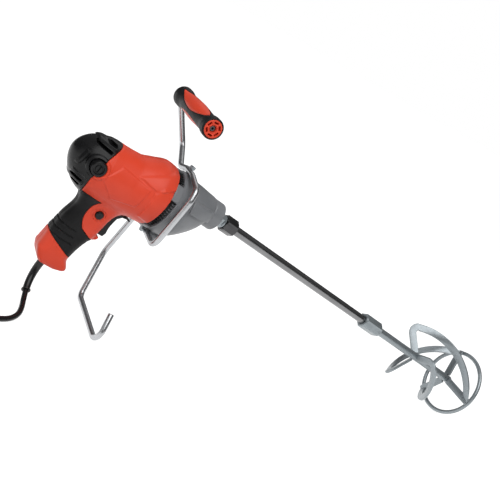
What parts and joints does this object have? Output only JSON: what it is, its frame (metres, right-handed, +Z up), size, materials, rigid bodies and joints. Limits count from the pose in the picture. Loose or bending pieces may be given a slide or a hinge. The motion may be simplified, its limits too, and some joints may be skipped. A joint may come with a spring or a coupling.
{
  "type": "mixing drill",
  "caption": "Hand-held mixing drill: pistol-grip motor housing, offset gearbox, bent carrying rod with a side hand grip and rest foot, and a long shaft with a bladed mixing paddle.",
  "frame": {"origin": "on the floor, under the middle of the box of the standing tool without its cord", "axes": "+X forward, from the motor to the paddle along the floor, +Y to the tool's left, +Z up"},
  "size_m": [1.0236, 0.165, 0.3199],
  "materials": {
    "orange_plastic": "fine satin moulding",
    "black_plastic": "satin",
    "black_rubber": "matt",
    "cast_grey": "painted die casting",
    "zinc_steel": "bright zinc",
    "dark_steel": "oiled",
    "rod_steel": "polished",
    "copper": "turned",
    "core_steel": "laminated",
    "carbon": "matt",
    "bronze": "turned"
  },
  "bodies": {
    "tool": {"housing_right": "orange_plastic", "housing_left": "orange_plastic", "rear_cap": "black_plastic", "grip_rubber_right": "black_rubber", "grip_rubber_left": "black_rubber", "housing_screws": "dark_steel", "louvre_ring": "black_plastic", "gear_housing": "cast_grey", "gear_plate": "cast_grey", "stator": "core_steel", "motor_front_bearing": "dark_steel", "motor_rear_bearing": "dark_steel", "brush_holder_right": "bronze", "brush_holder_left": "bronze", "carbon_brush_right": "carbon", "carbon_brush_left": "carbon", "brush_cap_right": "black_plastic", "brush_cap_left": "black_plastic", "idler_rear_bush": "bronze", "idler_front_bush": "bronze", "spindle_bearing": "dark_steel", "spindle_rear_bush": "bronze", "shaft_seal": "black_rubber", "carrying_rod": "rod_steel", "top_bolt": "dark_steel", "lower_bolt": "dark_steel", "hand_grip_core": "orange_plastic", "hand_grip_sleeve": "black_rubber", "hand_grip_bolt": "dark_steel", "switch_body": "black_plastic", "bend_relief": "black_rubber", "power_cord": "black_rubber", "cord_coil": "black_rubber", "coil_tie": "black_plastic", "plug_body": "black_rubber", "plug_pins": "zinc_steel"},
    "paddle": {"spindle": "zinc_steel", "output_gear": "dark_steel", "lock_nut": "zinc_steel", "upper_shaft": "zinc_steel", "shaft_coupler": "zinc_steel", "paddle_shaft": "zinc_steel", "paddle_blade_1": "zinc_steel", "paddle_blade_2": "zinc_steel", "paddle_blade_3": "zinc_steel", "paddle_hoop": "zinc_steel"},
    "idler": {"idler_gear": "dark_steel", "idler_shaft": "dark_steel"},
    "rotor": {"armature_core": "core_steel", "armature_shaft": "dark_steel", "commutator": "copper", "motor_fan": "black_plastic"},
    "trigger": {"trigger": "black_plastic"},
    "lock_on_button": {"lock_on_button": "black_plastic"}
  },
  "joints": [
    {"name": "paddle_spin", "type": "hinge", "parent": "tool", "child": "paddle", "pos_m": [-0.19028, 0.00058, 0.18901], "axis": [0.9761, 0, -0.2173], "continuous": true},
    {"name": "idler_spin", "type": "hinge", "parent": "tool", "child": "idler", "pos_m": [-0.25186, 0.01832, 0.18853], "axis": [0.9761, 0, -0.2173], "continuous": true},
    {"name": "rotor_spin", "type": "hinge", "parent": "tool", "child": "rotor", "pos_m": [-0.33259, 0.00058, 0.19404], "axis": [0.9761, 0, -0.2173], "continuous": true},
    {"name": "trigger_press", "type": "slide", "parent": "tool", "child": "trigger", "axis": [-0.9761, 0, 0.2173], "range_m": [0, 0.005], "stiffness_N_per_m": 1600, "springref_m": -0.002},
    {"name": "lock_on_press", "type": "slide", "parent": "tool", "child": "lock_on_button", "axis": [0, 1, 0], "range_m": [0, 0.003], "stiffness_N_per_m": 900, "springref_m": -0.001}
  ],
  "couplings": [
    {"joint": "idler_spin", "follows": "paddle_spin", "ratio": -3},
    {"joint": "rotor_spin", "follows": "paddle_spin", "ratio": 11.333}
  ]
}
